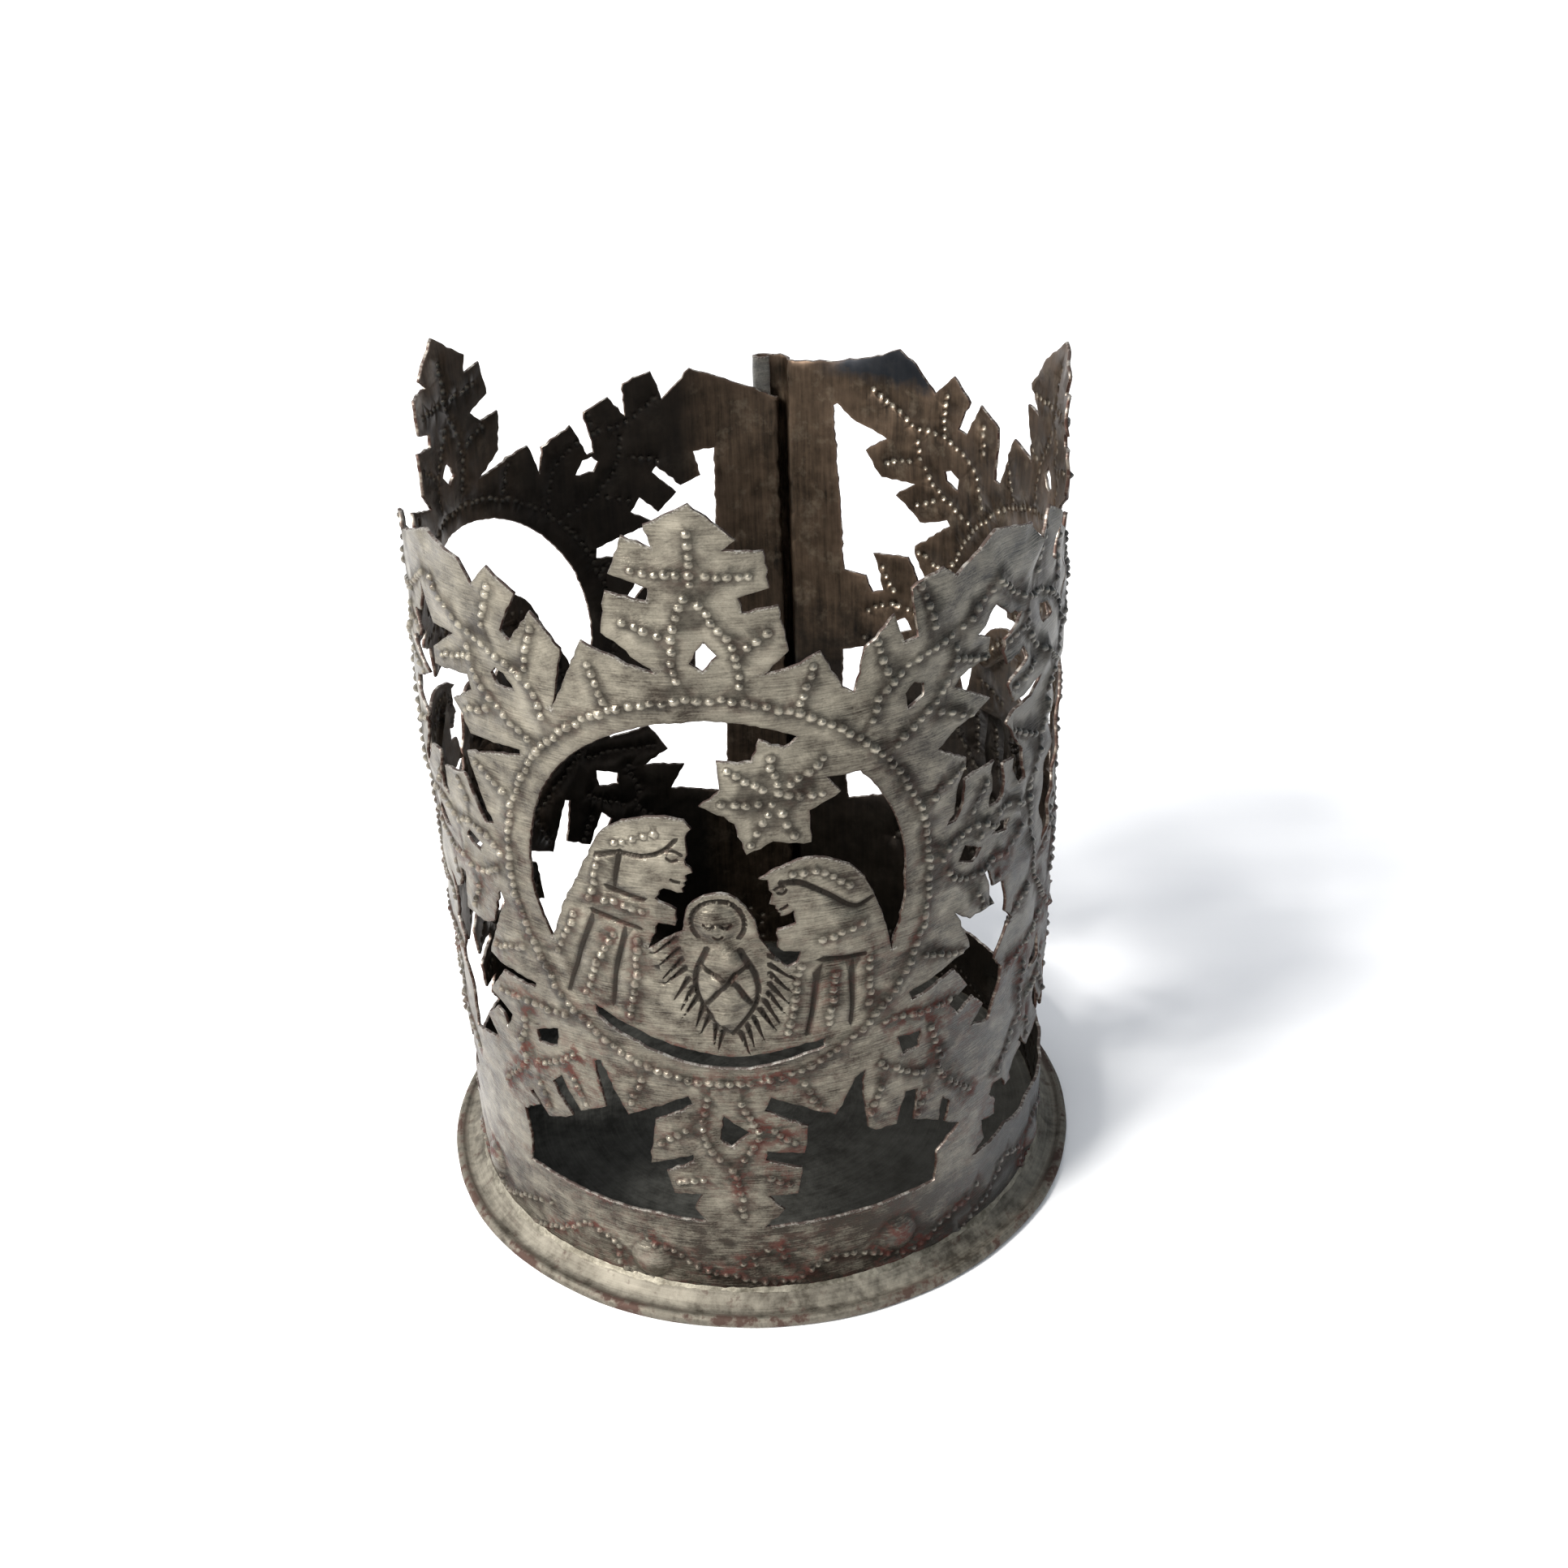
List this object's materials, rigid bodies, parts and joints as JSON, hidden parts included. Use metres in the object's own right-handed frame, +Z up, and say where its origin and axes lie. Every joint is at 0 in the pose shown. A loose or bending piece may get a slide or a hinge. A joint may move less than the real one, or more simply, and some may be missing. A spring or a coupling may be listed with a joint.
{
  "type": "tealight holder",
  "caption": "Open cylinder of pierced and punched sheet metal on a round flanged base, for a tealight.",
  "frame": {"origin": "on the table under the middle of the base", "axes": "+Z up along the wall's axis; -Y towards the front medallion; +X to its right"},
  "size_m": [0.0714, 0.0714, 0.0906],
  "materials": {
    "antiqued_tin": "blackened, brushed and rubbed back",
    "base_tin": "blackened, worn on the rim",
    "solder": "dull solder"
  },
  "bodies": {
    "root": {"wall_sheet": "antiqued_tin", "base_dish": "base_tin", "solder_fillet": "solder"}
  },
  "joints": []
}
